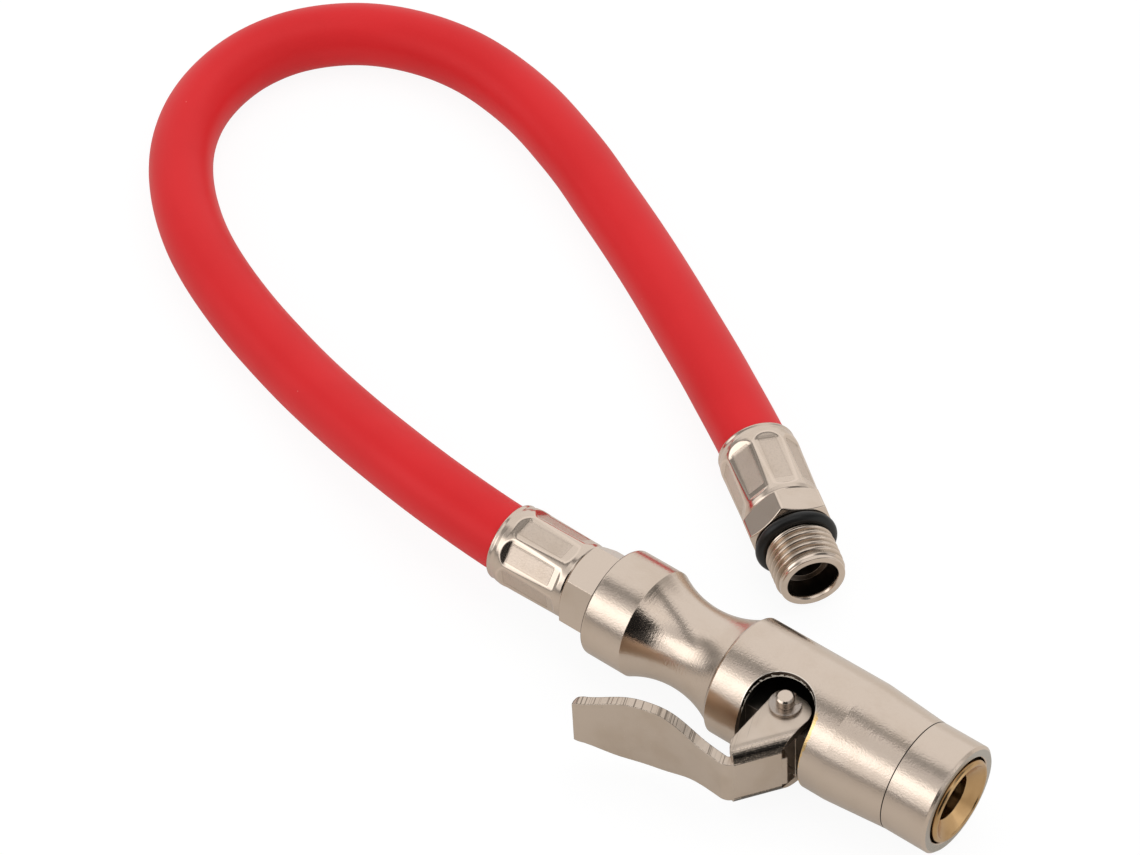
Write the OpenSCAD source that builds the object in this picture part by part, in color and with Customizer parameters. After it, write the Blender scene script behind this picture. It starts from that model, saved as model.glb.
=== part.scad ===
// Clip-on tyre air chuck with a thumb lever, on a short rubber whip hose
// with a male threaded inlet. Millimetres. The chuck lies along X with its
// mouth towards +X and its lever on the -Y side; the valve bore's middle is
// the origin. Lengths along the chuck are measured back from its front face.

/* [Chuck body] */
// Radius of the slotted sleeve
sleeve_r = 11.5; // [11.4:0.05:11.6]
// Radius of the nose collar
collar_r = 10.45; // [10.2:0.05:10.7]
// Length of the nose collar
collar_len = 9.2; // [9:0.1:9.4]
// Distance from the front face to the sleeve's back edge
sleeve_back = 46.6; // [46:0.1:47]
// Radius of the rear body's grip cylinder
rear_r = 10.5; // [10.2:0.05:10.8]
// Smallest radius of the waist
waist_r = 8.05; // [7.6:0.05:8.3]
// Distance from the front face to the rear body's back edge
rear_back = 74.7; // [74.3:0.1:75]

/* [Lever] */
// Sheet thickness of the lever
sheet = 1.9; // [1.8:0.05:2]
// Half of the lever's height over its ears
ear_half = 7.3; // [7.2:0.01:7.4]
// Half of the thumb pad's height at its widest
pad_half = 7.7; // [7:0.1:8.2]
// Half of the neck's height between pad and ears
neck_half = 5; // [4.6:0.1:5.4]

/* [Valve mouth] */
// Radius of the bore that the tyre valve enters
mouth_r = 4.4; // [4.3:0.02:4.44]
// Inner radius of the closed jaws over their teeth
jaw_r = 3.75; // [3.6:0.05:3.8]

/* [Hose and fittings] */
// Outer radius of the hose
hose_r = 6.5; // [6.3:0.05:6.5]
// Radius of the hose's bore
hose_bore_r = 3.25; // [3.25:0.01:3.4]
// Hexagon size across flats
hex_af = 15; // [14.5:0.1:15.2]
// Radius of the inlet's male thread over its crests
thread_r = 6.58; // [6.4:0.01:6.6]
// Radius of the inlet's counterbore
inlet_bore_r = 4.58; // [4.3:0.01:4.7]

/* [Hidden] */
$fn = 96;
eps = 0.01;
big = 60;
gap = 0.03; // between pieces fixed in each other
run = 0.06; // between pieces that slide on each other
face_x = 3.2; // front face ahead of the origin

// bores inside the sleeve
sleeve_bore = 10.3;
spigot_r = 10;
nose_bore = 9.3;
taper_from = 21.5; // where the sleeve starts to narrow
step_at = 20.8; // where its bore narrows
spigot_len = 5.6;

// lever slot
slot_x = -32.7;
slot_y = -8.5;
slot_r = 6.75;

// pivot pin
pin_x = -32.9;
pin_y = -5.5;
pin_r = 1.65;
pin_half = 9.9;
clip_t = 0.6;
clip_at = ear_half + 0.05;
ear_hole_r = pin_r + 0.05;

// slider
slider_r = sleeve_bore - run;
slider_back = 40.95;
flat_half = ear_half - sheet - 0.1;
slider_tube_r = 6.4;
core_r = 3.2;
chamber_r = 4.7;
key_w = 5;
cone_rise = 0.22;
cone_at = 8.9;
cone_r = 6.65;
face_back = 0.25; // the collar's ring stands this far behind the front face
lip = 0.48; // and the bush's lip this far ahead of it
mouth_deep = 1.6;
wall_deep = 4.8; // the valve bore's wall ends here
window_at = wall_deep + 0.1; // and the jaws' windows start here, in a wider bore

// ferrule and hose stem, measured back from the hexagon's rear face
ferrule_len = 17;
stem_bore_r = 2;
barb_r = 3.1;
hex_back = 81.6;
hex_roll = 40;
crimp_roll = 4;

// inlet fitting, measured back from its open end
inlet_pos = [-47.2, 27, -3.1];
inlet_yaw = -35.5;
inlet_hex_roll = 15;
inlet_crimp_roll = 37.5;
thread_len = 8.5;
neck_len = 2.4;
inlet_hex_len = 5.6;
inlet_hex_back = thread_len + neck_len + inlet_hex_len;

// centre line of the hose, from the chuck to the inlet
route = [
  [-79.7, 0, 0], [-95.5, 0, 0], [-109, 1, -0.1], [-119, 2.3, -0.5], [-129, 4.2, -1.4],
  [-138, 6.3, -2.6], [-148, 8.9, -3.8], [-157, 11.4, -4.6], [-167, 14.4, -5], [-176, 17.3, -5],
  [-186, 21.2, -5], [-195, 25.5, -5], [-203.2, 30.6, -5], [-211.3, 37.2, -5], [-218, 44.8, -5],
  [-222.8, 53.6, -5], [-225.1, 63, -5], [-224.8, 73, -5], [-221.4, 82.3, -5], [-215, 90, -5],
  [-207, 95.3, -5], [-197, 98.5, -5], [-187, 99.4, -5], [-177, 98.3, -5], [-167, 95.9, -5],
  [-158, 92.6, -5], [-149, 88.8, -5], [-140, 84.3, -5], [-131, 79.8, -5], [-122, 75.1, -5],
  [-113, 70.1, -4.9], [-105, 65.4, -4.6], [-96, 60, -4], [-88, 55, -3.5]
];
hose_sides = 12;

nickel = [0.74, 0.7, 0.65];
brass = [0.72, 0.55, 0.33];
steel = [0.6, 0.6, 0.6];
red = [0.89, 0.2, 0.21];
black = [0.06, 0.06, 0.06];

// ---- helpers ----

// moves a piece drawn from the front face into the part's frame
module at_face() {
  translate([face_x, 0, 0]) children();
}

// a solid of revolution about X from [radius, x] points
module turned(points) {
  rotate([0, 90, 0]) rotate_extrude() polygon(points);
}

// a cylinder along X from x0 to x1
module bar(r, x0, x1) {
  translate([x0, 0, 0]) rotate([0, 90, 0]) cylinder(r = r, h = x1 - x0);
}

module hexagon(af, x0, x1, roll) {
  translate([x0, 0, 0]) rotate([roll, 0, 0]) rotate([0, 90, 0])
    cylinder(r = af / sqrt(3), h = x1 - x0, $fn = 6);
}

// a hexagon with its corners turned down at both ends
module nut(af, x0, x1, roll) {
  corner = af / sqrt(3);
  cut = corner - af / 2 + 0.1;
  intersection() {
    hexagon(af, x0, x1, roll);
    turned([
      [0, x0], [corner - cut, x0], [corner + 0.1, x0 + cut * 0.6],
      [corner + 0.1, x1 - cut * 0.6], [corner - cut, x1], [0, x1]
    ]);
  }
}

function arc(cx, cy, r, a0, a1, n = 10) =
  [for (i = [0:n]) [cx + r * cos(a0 + (a1 - a0) * i / n), cy + r * sin(a0 + (a1 - a0) * i / n)]];

// ---- outer pieces of the chuck ----

module sleeve() {
  color(nickel) difference() {
    turned([
      [spigot_r, -sleeve_back], [sleeve_r - 0.5, -sleeve_back], [sleeve_r, -sleeve_back + 0.5],
      [sleeve_r, -taper_from], [collar_r, -collar_len], [nose_bore, -collar_len],
      [nose_bore, -step_at], [sleeve_bore, -step_at], [sleeve_bore, -sleeve_back + spigot_len],
      [spigot_r, -sleeve_back + spigot_len]
    ]);
    translate([slot_x, slot_y, -big / 2]) cylinder(r = slot_r, h = big);
    translate([slot_x - slot_r, slot_y - big, -big / 2]) cube([2 * slot_r, big, big]);
  }
}

module nose_collar() {
  ring_r = 8.4;
  rim = 0.45;
  rim_r = collar_r - rim - 0.05;
  seat_end = cone_at - (ring_r - cone_r) / cone_rise;
  guide = slider_tube_r + run;
  color(nickel) turned([
    [ring_r, -face_back - 0.15], [ring_r + 0.2, -face_back], [rim_r, -face_back],
    [collar_r, -face_back - rim], [collar_r, -collar_len],
    [nose_bore - gap, -collar_len], [nose_bore - gap, -14.2], [guide, -14.2],
    [guide, -cone_at - 0.1], [cone_r, -cone_at - 0.1], [cone_r, -cone_at], [ring_r, -seat_end]
  ]);
}

module rear_body() {
  edge = 65.8;
  mid = 56.5;
  reach = edge - mid;
  drop = rear_r - waist_r;
  radius = (reach * reach + drop * drop) / (2 * drop);
  front = mid - sleeve_back;
  steps = 28;
  neck = [for (i = [0:steps])
    let (x = -edge + (edge - sleeve_back) * i / steps, d = x + mid)
    [waist_r + radius - sqrt(radius * radius - d * d), x]];
  color(nickel) difference() {
    turned(concat(
      [[0, -rear_back], [rear_r - 0.6, -rear_back]],
      [for (p = arc(rear_r - 0.6, -rear_back + 0.6, 0.6, -75, 0, 5)) p],
      neck,
      [[spigot_r - gap, -sleeve_back], [spigot_r - gap, -slider_back - 0.05], [0, -slider_back - 0.05]]
    ));
    bar(4.65, -52, -slider_back + 1);
    bar(2.2, -64.1, -51);
    bar(thread_r + gap, -rear_back - 1, -64);
  }
}

// ---- clamping slider and what it carries ----

module clamp_slider() {
  color(steel) difference() {
    union() {
      bar(slider_r, -slider_back, -39.7);
      intersection() {
        bar(slider_r, -40, -25);
        translate([-40, -8, -flat_half]) cube([15, 8 + slider_r, 2 * flat_half]);
      }
      bar(slider_r, -25.6, -23.9);
      bar(slider_tube_r, -24, -10.5);
    }
    bar(core_r + run, -slider_back - 1, -9);
    bar(chamber_r, -19, -9);
    bar(5.5, -14.05, -9);
    translate([pin_x, pin_y, -big / 2]) cylinder(r = pin_r + gap, h = big);
  }
}

module jaw_window(width, x0, x1, angle) {
  rotate([angle, 0, 0]) translate([x0, -width / 2, 0]) cube([x1 - x0, width, 9]);
}

module mouth_bush() {
  relief_r = mouth_r + 0.4;
  color(brass) difference() {
    turned([
      [mouth_r, -mouth_deep], [6.95, lip - 0.28], [7.15, lip - 0.08], [7.4, lip], [7.6, lip - 0.03],
      [7.85, lip - 0.23], [8, lip - 0.53], [8, -1.5], [7.7, -1.9], [7.7, -2.6],
      [slider_tube_r, -2.6], [slider_tube_r, -10.5], [5.47, -10.5], [5.47, -14],
      [chamber_r, -14], [chamber_r, -10], [relief_r, -10], [relief_r, -window_at + 0.02],
      [mouth_r, -wall_deep]
    ]);
    for (k = [0:2]) jaw_window(key_w + 0.12, -8.7, -window_at, 120 * k);
  }
}

module jaw(k) {
  back = cone_r - 0.1;
  front = window_at + 0.1;
  tooth = 0.794;
  color(steel) intersection() {
    difference() {
      turned([
        [jaw_r, -8.6], [back + cone_rise * (cone_at - 8.6), -8.6],
        [back + cone_rise * (cone_at - front), -front], [jaw_r + 0.4, -front], [jaw_r, -front - 0.4]
      ]);
      for (i = [0:3]) turned([
        [jaw_r - 0.1, -8.1 + tooth * i], [jaw_r + 0.35, -7.8 + tooth * i], [jaw_r - 0.1, -7.5 + tooth * i]
      ]);
    }
    jaw_window(key_w, -8.65, -front + 0.05, 120 * k);
  }
}

module lever_pin() {
  groove = 1.3;
  tip = 0.35;
  half = [
    [0, pin_half], [pin_r - tip, pin_half], [pin_r, pin_half - tip], [pin_r, clip_at + clip_t + 0.05],
    [groove, clip_at + clip_t + 0.05], [groove, clip_at - 0.05], [pin_r, clip_at - 0.05], [pin_r, 0], [0, 0]
  ];
  color(nickel) translate([pin_x, pin_y, 0]) {
    rotate_extrude() polygon(half);
    mirror([0, 0, 1]) rotate_extrude() polygon(half);
  }
}

module pin_clips() {
  outer = 2.9;
  color(steel) for (side = [0, 1]) translate([pin_x, pin_y, 0]) mirror([0, 0, side])
    translate([0, 0, clip_at]) linear_extrude(clip_t) difference() {
      circle(outer);
      circle(1.33);
      rotate(62) translate([0, -1.15]) square([outer + 1, 2.3]);
    }
}

// ---- lever ----

// outline points of the bent strip's outer face, with the heading at each
bend_head = 235.1; // heading of the web, from its front edge back
pad_head = 175.5; // heading of the neck
tip_head = 203; // heading of the pad's end
web_front = [-28.4, -12.6];
web_len = 8.7;
corner_r = 2.6;
pad_r = 30;
neck_out = 6.3;
tip_len = 8.5;

function step(p, h, d) = [p[0] + d * cos(h), p[1] + d * sin(h)];
// points on an arc that starts at p with heading h0 and ends with heading h1
function turn(p, h0, h1, r, n) =
  let (s = h1 > h0 ? 1 : -1, c = step(p, h0 + 90 * s, r))
  [for (i = [0:n]) let (h = h0 + (h1 - h0) * i / n) concat(step(c, h - 90 * s, r), [h])];
function last(v) = v[len(v) - 1];

corner_at = step(web_front, bend_head, web_len);
inset = 0.015; // the pad's strip starts this far inside the web's faces
tab_len = 1;
strip_t = sheet - 2 * inset;
strip_from = step(corner_at, bend_head - 90, inset);
strip_a = [concat(step(strip_from, bend_head, -1.2), [bend_head])];
strip_b = turn(strip_from, bend_head, pad_head, corner_r, 8);
neck_end = step(last(strip_b), pad_head, neck_out);
strip_c = turn(neck_end, pad_head, tip_head, pad_r, 20);
strip_d = [concat(step(last(strip_c), tip_head, tip_len), [tip_head])];
strip = concat(strip_a, strip_b, strip_c, strip_d);

// half height of the pad along its length
function pad_h(x) = neck_half + (pad_half - neck_half) * exp(-pow(abs(x + 52) / 8.4, 3));

module strip_plan() {
  inner = [for (i = [len(strip) - 1:-1:0]) step(strip[i], strip[i][2] - 90, strip_t)];
  polygon(concat([for (p = strip) [p[0], p[1]]], inner));
}

// height of the strip seen from the side: web, neck, pad and rounded tip
module strip_height() {
  tip_x = strip_d[0][0];
  round_x = 2.3;
  round_z = 1.6;
  xs = [for (i = [1:26]) tip_x + 1.6 + i * (-30 - tip_x - 1.6) / 26];
  end_h = pad_h(tip_x + 1.6);
  top = concat(
    [[tip_x - 1, end_h - round_z]],
    [for (a = [0:15:90]) [tip_x + 1.6 - round_x * cos(a), end_h - round_z + round_z * sin(a)]],
    [for (x = xs) [x, pad_h(x)]]
  );
  flip = [for (i = [len(top) - 1:-1:0]) [top[i][0], -top[i][1]]];
  polygon(concat(top, flip));
}

// outline of the ears and the web seen along the pin
module ear_plan() {
  polygon(concat(
    [[-28.49, -13.6], step(corner_at, bend_head + 90, 0.5),
     step(corner_at, bend_head - 90, 2.3), [-36, -17.2]],
    arc(-33.5, -4.8, 2.5, 180, 100, 8),
    arc(-31.2, -5.9, 3.4, 75, 0, 10),
    [[-27.9, -7]]
  ));
}

// cross-section of the folded sheet: the web with its two ears
module fold_section() {
  bend = 2.7;
  inner = bend - sheet;
  deep = 13;
  h = ear_half;
  polygon(concat(
    [[deep, -h]],
    arc(bend, bend - h, bend, 270, 180, 12),
    arc(bend, h - bend, bend, 180, 90, 12),
    [[deep, h], [deep, h - sheet]],
    arc(bend, h - bend, inner, 90, 180, 6),
    arc(bend, bend - h, inner, 180, 270, 6),
    [[deep, sheet - h]]
  ));
}

// clears the space between the ears in front of the web
module web_end_plan() {
  outer = step(web_front, bend_head + 90, 0.6);
  inner = step(web_front, bend_head - 90, sheet + 0.7);
  polygon([outer, inner, step(inner, bend_head, -3), step(outer, bend_head, -3)]);
}

module lever() {
  web_half = ear_half - sheet + eps;
  fold_from = step(corner_at, bend_head, 2);
  color(nickel) {
    difference() {
      union() {
        intersection() {
          translate([fold_from[0], fold_from[1], 0]) rotate([0, 0, bend_head - 90])
            rotate([90, 0, 0]) linear_extrude(20) fold_section();
          translate([0, 0, -9]) linear_extrude(18) ear_plan();
        }
        intersection() {
          translate([0, 0, -10]) linear_extrude(20) strip_plan();
          translate([0, 10, 0]) rotate([90, 0, 0]) linear_extrude(60) strip_height();
        }
      }
      translate([pin_x, pin_y, -big / 2]) cylinder(r = ear_hole_r, h = big);
      translate([0, 0, -web_half]) linear_extrude(2 * web_half) web_end_plan();
    }
    web_tab();
  }
}

// what the press left standing on the web's front edge
module web_tab() {
  translate([web_front[0], web_front[1], 0]) rotate([0, 0, bend_head])
    translate([-tab_len, inset - sheet, -4.3]) cube([tab_len + 0.6, sheet - 2 * inset, 7.2]);
}

// ---- air path inside the chuck ----

module core_tube() {
  color(brass) difference() {
    union() {
      bar(core_r, -52, -14.5);
      bar(4.62, -52, -47);
    }
    bar(1.6, -53, -14);
    turned([[4, -50.1], [5, -50.1], [5, -48.9], [4, -48.9]]);
  }
}

module core_oring() {
  color(black) translate([-49.5, 0, 0]) rotate([0, 90, 0])
    rotate_extrude() translate([4.31, 0]) circle(0.3, $fn = 24);
}

module seal_cup() {
  color(brass) difference() {
    bar(4.4, -16, -12.2);
    bar(core_r + gap, -17, -14);
    bar(3.9, -14.5, -12);
  }
}

module valve_seal() {
  color(black) difference() {
    bar(3.87, -14.5, -11.6);
    bar(1.3, -15, -11);
  }
}

module valve_depressor() {
  color(brass) difference() {
    union() {
      bar(1.57, -18.5, -14.6);
      bar(0.8, -15, -10.8);
    }
    for (k = [0:2]) rotate([120 * k, 0, 0]) translate([-19, -0.4, 0.8]) cube([4.5, 0.8, 2]);
  }
}

module spring_seat() {
  color(steel) difference() {
    bar(9.2, -15, -14.2);
    bar(slider_tube_r + 0.1, -16, -14);
  }
}

// a wire swept along a helix about X
module return_spring() {
  wire = 0.55;
  coil = 7.8;
  turns = 4.5;
  start = -23.85 + wire;
  rise = (-15.05 - wire - start) / turns;
  per = 16;
  sides = 8;
  count = turns * per;
  points = [for (i = [0:count], j = [0:sides - 1])
    let (a = 360 * i / per, b = 360 * j / sides, r = coil + wire * cos(b))
    [start + rise * i / per + wire * sin(b), r * cos(a), r * sin(a)]];
  side_faces = [for (i = [0:count - 1], j = [0:sides - 1])
    let (a = i * sides + j, b = i * sides + (j + 1) % sides)
    each [[a, b, b + sides], [a, b + sides, a + sides]]];
  ends = [
    [for (j = [sides - 1:-1:0]) j],
    [for (j = [0:sides - 1]) count * sides + j]
  ];
  color(steel) polyhedron(points = points, faces = concat(side_faces, ends), convexity = 6);
}

// ---- hose ends ----

// barbed tail that fills the hose's end, drawn back from x = 0
module barb() {
  turned(concat(
    [[0, 0.5], [4.12, 0.5], [4.12, -1.1], [barb_r, -1.1]],
    [for (i = [0:2])
      each [[barb_r, -3 - 4 * i], [hose_bore_r - 0.02, -3 - 4 * i], [barb_r - 0.3, -6 - 4 * i]]],
    [[barb_r - 0.4, -14.7], [0, -14.7]]
  ));
}

// crimped ferrule drawn back from x = 0, with eight pressed flats
module ferrule(roll) {
  wall = hose_r + gap;
  difference() {
    turned(concat(
      [[4.15, 0], [6.9, 0], [7.35, -0.4], [7.45, -1.3], [7.75, -ferrule_len + 2.6],
       [7.62, -ferrule_len + 1.6], [7.35, -ferrule_len + 0.8]],
      arc(7.2, -ferrule_len + 0.3, 0.3, 0, -90, 4),
      [[wall, -ferrule_len], [wall, -1.1], [4.15, -1.1]]
    ));
    for (k = [0:7]) rotate([roll + 45 * k, 0, 0]) {
      translate([-ferrule_len + 2.7, -2.7, 7.15]) cube([ferrule_len - 4.5, 5.4, 2]);
      translate([-ferrule_len + 3.8, -1.8, 6.98]) cube([ferrule_len - 7.2, 3.6, 2]);
    }
  }
}

module hose_stem() {
  color(nickel) difference() {
    union() {
      translate([-hex_back, 0, 0]) barb();
      nut(hex_af, -hex_back, -rear_back, hex_roll);
      bar(thread_r, -rear_back - 0.1, -65.5);
    }
    bar(stem_bore_r, -100, -60);
  }
}

module chuck_ferrule() {
  color(nickel) translate([-hex_back, 0, 0]) ferrule(crimp_roll);
}

module at_inlet() {
  translate(inlet_pos) rotate([0, 0, inlet_yaw]) children();
}

module inlet_ferrule() {
  color(nickel) translate([-inlet_hex_back, 0, 0]) ferrule(inlet_crimp_roll);
}

module inlet_fitting() {
  lead = 0.5;
  neck = 5.5;
  color(nickel) difference() {
    union() {
      translate([-inlet_hex_back, 0, 0]) barb();
      nut(hex_af, -inlet_hex_back, -thread_len - neck_len, inlet_hex_roll);
      bar(neck, -thread_len - neck_len - 0.1, -thread_len + 0.1);
      turned([
        [0, 0], [thread_r - lead, 0], [thread_r, -lead], [thread_r, -thread_len + 0.3],
        [thread_r - 0.3, -thread_len], [0, -thread_len]
      ]);
    }
    bar(stem_bore_r, -40, 1);
    bar(inlet_bore_r, -4.5, 1);
    turned([[0, 0.1], [inlet_bore_r + 0.4, 0.1], [inlet_bore_r + 0.3, 0], [inlet_bore_r, -0.3], [0, -0.3]]);
  }
}

module inlet_oring() {
  wire = 1.15;
  color(black) translate([-thread_len - neck_len / 2, 0, 0]) rotate([0, 90, 0])
    rotate_extrude() translate([5.53 + wire, 0]) circle(wire, $fn = 32);
}

// ---- hose ----

inlet_dir = [cos(inlet_yaw), sin(inlet_yaw), 0];
hose_end = inlet_pos - (inlet_hex_back + 1.2) * inlet_dir;
hose_mouth = inlet_pos - (inlet_hex_back + ferrule_len) * inlet_dir;
chosen = concat(route, [hose_mouth, hose_end]);

// the chosen points with one more between each pair, on a smooth curve
line = [for (i = [0:len(chosen) - 1]) each (
  i == len(chosen) - 1 ? [chosen[i]]
  : i == 0 || i == len(chosen) - 2 ? [chosen[i], (chosen[i] + chosen[i + 1]) / 2]
  : [chosen[i], (9 * (chosen[i] + chosen[i + 1]) - chosen[i - 1] - chosen[i + 2]) / 16])];

function unit(v) = v / norm(v);
function heading(i) =
  i == 0 ? unit(line[1] - line[0])
  : i == 1 ? unit(line[1] - line[0])
  : i >= len(line) - 2 ? inlet_dir
  : unit(line[i + 1] - line[i - 1]);
function ring(i, r) =
  let (t = heading(i), side = unit(cross([0, 0, 1], t)), up = cross(t, side))
  [for (j = [0:hose_sides - 1])
    let (a = 360 * j / hose_sides) line[i] + r * cos(a) * side + r * sin(a) * up];

module hose() {
  n = len(line);
  m = hose_sides;
  outer = [for (i = [0:n - 1]) each ring(i, hose_r)];
  inner = [for (i = [0:n - 1]) each ring(i, hose_bore_r)];
  skin = [for (i = [0:n - 2], j = [0:m - 1])
    let (a = i * m + j, b = i * m + (j + 1) % m)
    each [[a, b + m, b], [a, a + m, b + m]]];
  lining = [for (f = skin) [f[0] + n * m, f[2] + n * m, f[1] + n * m]];
  caps = [for (j = [0:m - 1])
    let (k = (j + 1) % m, z = (n - 1) * m, s = n * m)
    each [[j, k, s + k], [j, s + k, s + j], [z + k, z + j, z + s + j], [z + k, z + s + j, z + s + k]]];
  color(red) polyhedron(points = concat(outer, inner), faces = concat(skin, lining, caps), convexity = 8);
}

// ---- assembly ----

at_face() sleeve();
at_face() nose_collar();
at_face() rear_body();
at_face() clamp_slider();
at_face() mouth_bush();
at_face() jaw(0);  // jaw_1
at_face() jaw(1);  // jaw_2
at_face() jaw(2);  // jaw_3
at_face() return_spring();
at_face() spring_seat();
at_face() core_tube();
at_face() core_oring();
at_face() seal_cup();
at_face() valve_seal();
at_face() valve_depressor();
at_face() lever();
at_face() lever_pin();
at_face() pin_clips();
at_face() hose_stem();
at_face() chuck_ferrule();
hose();
at_inlet() inlet_ferrule();
at_inlet() inlet_fitting();
at_inlet() inlet_oring();
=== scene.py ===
"""Looks of a clip-on tyre air chuck on a rubber whip hose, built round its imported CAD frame.

The chuck lies along X with its mouth towards +X and its thumb lever on the -Y side, and the
middle of the valve bore is the origin. Sizes in the classes are millimetres, as on a drawing;
every mesh is made in metres.
"""

from __future__ import annotations

import logging
import math
from collections.abc import Mapping, Sequence
from dataclasses import dataclass, field
from enum import Enum

import bmesh
import bpy
import numpy as np
from mathutils import Matrix, Vector


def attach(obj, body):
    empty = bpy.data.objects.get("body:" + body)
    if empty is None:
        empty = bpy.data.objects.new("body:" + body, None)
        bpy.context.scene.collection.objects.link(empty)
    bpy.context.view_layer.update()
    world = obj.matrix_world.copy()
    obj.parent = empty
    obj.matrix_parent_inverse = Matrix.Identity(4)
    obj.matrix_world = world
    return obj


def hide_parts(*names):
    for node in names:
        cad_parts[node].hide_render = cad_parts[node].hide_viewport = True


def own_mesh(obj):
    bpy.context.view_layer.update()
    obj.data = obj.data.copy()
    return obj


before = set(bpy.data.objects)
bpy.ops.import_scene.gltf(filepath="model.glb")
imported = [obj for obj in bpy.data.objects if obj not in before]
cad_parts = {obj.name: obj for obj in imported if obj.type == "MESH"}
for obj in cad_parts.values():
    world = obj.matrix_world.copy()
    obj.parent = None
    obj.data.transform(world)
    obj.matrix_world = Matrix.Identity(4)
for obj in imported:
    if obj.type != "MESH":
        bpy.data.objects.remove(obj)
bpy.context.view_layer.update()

log = logging.getLogger("chuck")
MM = 0.001
FACE_X = 3.2  # the chuck's front face stands this far ahead of the origin
Number = float | int
Colour = tuple[float, float, float]
PLATE: Colour = (0.70, 0.585, 0.49)
WHITE: Colour = (1.0, 1.0, 1.0)
GRIME: Colour = (0.03, 0.025, 0.02)
# near-white colour laid along edges: a painted highlight
PAINTED_GLINT: Colour = (1.0, 0.92, 0.82)


class Body(str, Enum):
    """The moving body that the pieces made here ride on."""

    HOUSING = "housing"


class Slot(str, Enum):
    """The record's material slot names for the pieces made here; this script does not use them."""

    FITTING = "fitting_nickel"
    STEEL = "steel"
    HOSE = "hose_rubber"


class Mark(str, Enum):
    """Masks that a mesh carries on its points for its finish to read."""

    # edge: ridges and crests, where the finish paints a highlight
    EDGE = "edge"
    IMPRINT = "imprint"
    # valley: roots and outlines, where the finish paints shade
    VALLEY = "valley"
    SHADE = "shade"


# ---------------------------------------------------------------- shader bench


class Term:
    """A node socket that takes part in Python arithmetic, adding Math nodes as it goes."""

    def __init__(self, bench: Bench, socket: bpy.types.NodeSocket) -> None:
        """Wraps one output socket of the bench's node tree."""
        self.bench = bench
        self.socket = socket

    def _math(self, operation: str, first: Term | Number, second: Term | Number) -> Term:
        """Adds one Math node and gives its result."""
        return self.bench.term("ShaderNodeMath", {"operation": operation}, {0: first, 1: second})

    def __add__(self, other: Term | Number) -> Term:
        """Sum of the two."""
        return self._math("ADD", self, other)

    __radd__ = __add__

    def __sub__(self, other: Term | Number) -> Term:
        """This less the other."""
        return self._math("SUBTRACT", self, other)

    def __rsub__(self, other: Term | Number) -> Term:
        """The other less this."""
        return self._math("SUBTRACT", other, self)

    def __mul__(self, other: Term | Number) -> Term:
        """Product of the two."""
        return self._math("MULTIPLY", self, other)

    __rmul__ = __mul__

    def __pow__(self, other: Term | Number) -> Term:
        """This raised to the other."""
        return self._math("POWER", self, other)

    def __abs__(self) -> Term:
        """Size of this without its sign."""
        return self._math("ABSOLUTE", self, 0.0)

    def most(self, other: Term | Number) -> Term:
        """The larger of the two."""
        return self._math("MAXIMUM", self, other)

    def ease(self, low: float, high: float) -> Term:
        """Smooth step of this between two values.

        Args:
            low: where the step is still 0. It may be above high, for a falling step.
            high: where the step has reached 1.

        Returns:
            A value from 0 to 1.
        """
        flip = low > high
        ends = (1.0, 0.0) if flip else (0.0, 1.0)
        bounds = (high, low) if flip else (low, high)
        return self.bench.term(
            "ShaderNodeMapRange",
            {"interpolation_type": "SMOOTHSTEP"},
            {0: self, 1: bounds[0], 2: bounds[1], 3: ends[0], 4: ends[1]},
        )


Value = Term | Number | Sequence[float]


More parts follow.
